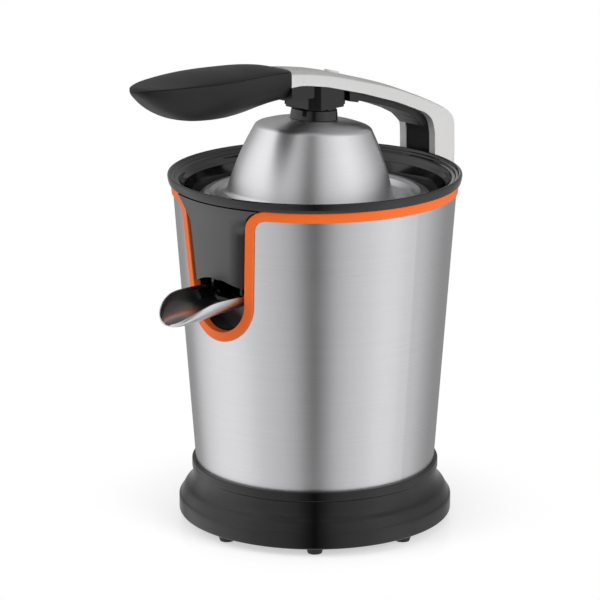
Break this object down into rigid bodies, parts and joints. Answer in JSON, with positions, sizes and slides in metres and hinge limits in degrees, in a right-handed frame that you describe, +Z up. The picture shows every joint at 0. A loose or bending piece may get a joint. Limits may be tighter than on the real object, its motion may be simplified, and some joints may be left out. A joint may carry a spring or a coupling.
{
  "type": "citrus press juicer",
  "caption": "Lever citrus press with a flared steel body, a hinged arm carrying a press dome over a motor-driven reamer, and a front pouring spout.",
  "frame": {"origin": "under the middle of the press's length and width, on the plane the feet stand on; the body's axis stands 18.1 mm behind it, at Y +0.0181", "axes": "+Z up along the body's axis, -Y towards the spout and the grip, +Y towards the arm's hinge, X along the hinge pin"},
  "size_m": [0.19, 0.2724, 0.3088],
  "materials": {
    "black_gloss": "glossy black",
    "black_matte": "matte black",
    "black_rubber": "matte rubber",
    "steel_plain": "plain",
    "steel_brushed": "vertically lit brushed steel",
    "orange": "satin orange",
    "bronze": "plain",
    "arm_silver": "satin silver",
    "black_satin": "satin black",
    "grip_black": "soft-touch black",
    "gear_white": "plain",
    "steel_polished": "polished steel"
  },
  "bodies": {
    "body": {"base_ring": "black_gloss", "bottom_plate": "black_matte", "feet": "black_rubber", "base_screws": "steel_plain", "cord_gland": "black_rubber", "casing": "steel_brushed", "trim": "orange", "recess_liner": "black_gloss", "chassis": "black_matte", "gear_cover": "black_matte", "cover_screws": "steel_plain", "lower_bush": "bronze", "upper_bush": "bronze", "shaft_seal": "black_rubber", "motor_can": "steel_plain", "motor_end_cap": "black_matte", "motor_screws": "steel_plain", "idler_axle": "steel_plain", "microswitch": "black_matte", "bowl": "black_gloss", "rim": "black_gloss", "filter": "steel_brushed", "filter_screen": "steel_brushed", "hinge_bracket": "black_gloss", "bracket_screws": "steel_plain", "hinge_pin": "steel_plain", "return_spring": "steel_plain"},
    "arm": {"arm_shell": "arm_silver", "arm_under_cover": "black_satin", "leg_insert": "black_satin", "cover_joint_screws": "steel_plain", "collar": "black_satin", "press_pin": "steel_plain", "grip_top": "grip_black", "grip_bottom": "grip_black", "button_spring": "steel_plain"},
    "button": {"arm_button": "arm_silver"},
    "press": {"press_neck": "black_gloss", "press_dome": "steel_brushed", "press_liner": "black_matte"},
    "thrust": {"thrust_cup": "gear_white"},
    "reamer": {"drive_shaft": "steel_plain", "output_gear": "gear_white", "reamer_cone": "black_satin"},
    "idler": {"idler_gear": "gear_white"},
    "rotor": {"rotor_shaft": "steel_plain", "motor_pinion": "bronze"},
    "spout": {"spout": "steel_polished", "spout_carrier": "black_satin"}
  },
  "joints": [
    {"name": "arm_lift", "type": "hinge", "parent": "body", "child": "arm", "pos_m": [0, 0.12254, 0.207], "axis": [-1, 0, 0], "range_deg": [0, 85]},
    {"name": "press_tilt", "type": "hinge", "parent": "arm", "child": "press", "pos_m": [0, 0.01806, 0.279], "axis": [1, 0, 0], "range_deg": [0, 8]},
    {"name": "button_press", "type": "slide", "parent": "arm", "child": "button", "axis": [0, 0, -1], "range_m": [0, 0.0015], "stiffness_N_per_m": 400, "springref_m": -0.001, "deforming": ["button_spring"]},
    {"name": "cone_press", "type": "slide", "parent": "body", "child": "thrust", "axis": [0, 0, -1], "range_m": [0, 0.0025], "stiffness_N_per_m": 3000, "springref_m": -0.003, "deforming": ["return_spring"]},
    {"name": "cone_spin", "type": "hinge", "parent": "thrust", "child": "reamer", "pos_m": [0, 0.01806, 0.15], "axis": [0, 0, 1], "continuous": true},
    {"name": "idler_spin", "type": "hinge", "parent": "body", "child": "idler", "pos_m": [0, 0.05006, 0.13], "axis": [0, 0, 1], "continuous": true},
    {"name": "rotor_spin", "type": "hinge", "parent": "body", "child": "rotor", "pos_m": [0.031, 0.05006, 0.1], "axis": [0, 0, 1], "continuous": true},
    {"name": "spout_tilt", "type": "hinge", "parent": "body", "child": "spout", "pos_m": [0, -0.05895, 0.164], "axis": [-1, 0, 0], "range_deg": [0, 14]}
  ],
  "couplings": [
    {"joint": "idler_spin", "follows": "cone_spin", "ratio": -3},
    {"joint": "rotor_spin", "follows": "cone_spin", "ratio": 10.286}
  ]
}
